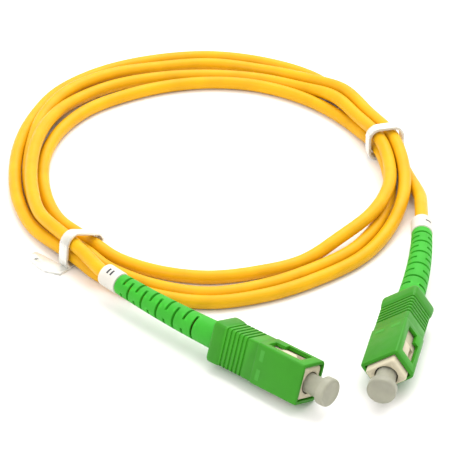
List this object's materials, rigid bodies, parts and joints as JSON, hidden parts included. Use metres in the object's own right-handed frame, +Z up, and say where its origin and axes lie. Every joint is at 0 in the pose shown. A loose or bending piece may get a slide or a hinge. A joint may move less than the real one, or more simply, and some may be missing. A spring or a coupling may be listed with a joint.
{
  "type": "fiber optic patch cord",
  "caption": "Coiled yellow fibre optic patch cord with green angled-polish push-pull plugs, boots, dust caps and white ties.",
  "frame": {"origin": "bottom centre of the box round the two plugs and their boots, at the level of the surface they lie on", "axes": "+Z up from the surface, +X along the longer side of the box round the two plugs, +Y from the plugs towards the coil"},
  "size_m": [0.0967, 0.1466, 0.0109],
  "materials": {
    "shell_green": "satin moulded green",
    "boot_green": "soft matte lighter green",
    "frame_ivory": "satin ivory",
    "ceramic": "polished zirconia ceramic",
    "steel": "nickel-plated metal",
    "brass": "satin crimped sleeve",
    "clear_tube": "natural polymer tube",
    "fibre": "bare glass fibre",
    "cap_grey": "frosted translucent",
    "ring_white": "white marking ring",
    "jacket_yellow": "smooth cable jacket",
    "yarn": "aramid yarn",
    "buffer_white": "tight buffer",
    "strap": "translucent white tie"
  },
  "bodies": {
    "cord": {"plug_frame_a": "frame_ivory", "backbone_a": "steel", "crimp_sleeve_a": "brass", "spring_a": "steel", "boot_a": "boot_green", "id_ring_a": "ring_white", "cable_lead_a": "jacket_yellow", "aramid_yarn_a": "yarn", "tight_buffer_a": "buffer_white", "optical_fibre_a": "fibre", "plug_frame_b": "frame_ivory", "backbone_b": "steel", "crimp_sleeve_b": "brass", "spring_b": "steel", "boot_b": "boot_green", "id_ring_b": "ring_white", "cable_lead_b": "jacket_yellow", "aramid_yarn_b": "yarn", "tight_buffer_b": "buffer_white", "optical_fibre_b": "fibre", "cable_coil": "jacket_yellow", "tie_left": "strap", "tie_right": "strap"},
    "housing_a": {"housing_a": "shell_green"},
    "ferrule_a": {"ferrule_a": "ceramic", "ferrule_flange_a": "steel", "fibre_stub_a": "fibre", "guide_tube_a": "clear_tube"},
    "cap_a": {"dust_cap_a": "cap_grey"},
    "housing_b": {"housing_b": "shell_green"},
    "ferrule_b": {"ferrule_b": "ceramic", "ferrule_flange_b": "steel", "fibre_stub_b": "fibre", "guide_tube_b": "clear_tube"},
    "cap_b": {"dust_cap_b": "cap_grey"}
  },
  "joints": [
    {"name": "housing_a_slide", "type": "slide", "parent": "cord", "child": "housing_a", "axis": [-0.2351, -0.9719, -0.007], "range_m": [0, 0.0018]},
    {"name": "ferrule_a_press", "type": "slide", "parent": "cord", "child": "ferrule_a", "axis": [0.2351, 0.9719, 0.007], "range_m": [0, 0.0012], "stiffness_N_per_m": 2500, "springref_m": -0.002, "deforming": ["spring_a"]},
    {"name": "cap_a_pull", "type": "slide", "parent": "ferrule_a", "child": "cap_a", "axis": [-0.2351, -0.9719, -0.007], "range_m": [0, 0.012]},
    {"name": "housing_b_slide", "type": "slide", "parent": "cord", "child": "housing_b", "axis": [0.7523, -0.6586, 0.014], "range_m": [-0.0018, 0]},
    {"name": "ferrule_b_press", "type": "slide", "parent": "cord", "child": "ferrule_b", "axis": [-0.7523, 0.6586, -0.014], "range_m": [0, 0.0012], "stiffness_N_per_m": 2500, "springref_m": -0.002, "deforming": ["spring_b"]},
    {"name": "cap_b_pull", "type": "slide", "parent": "ferrule_b", "child": "cap_b", "axis": [0.7523, -0.6586, 0.014], "range_m": [0, 0.0048]}
  ]
}
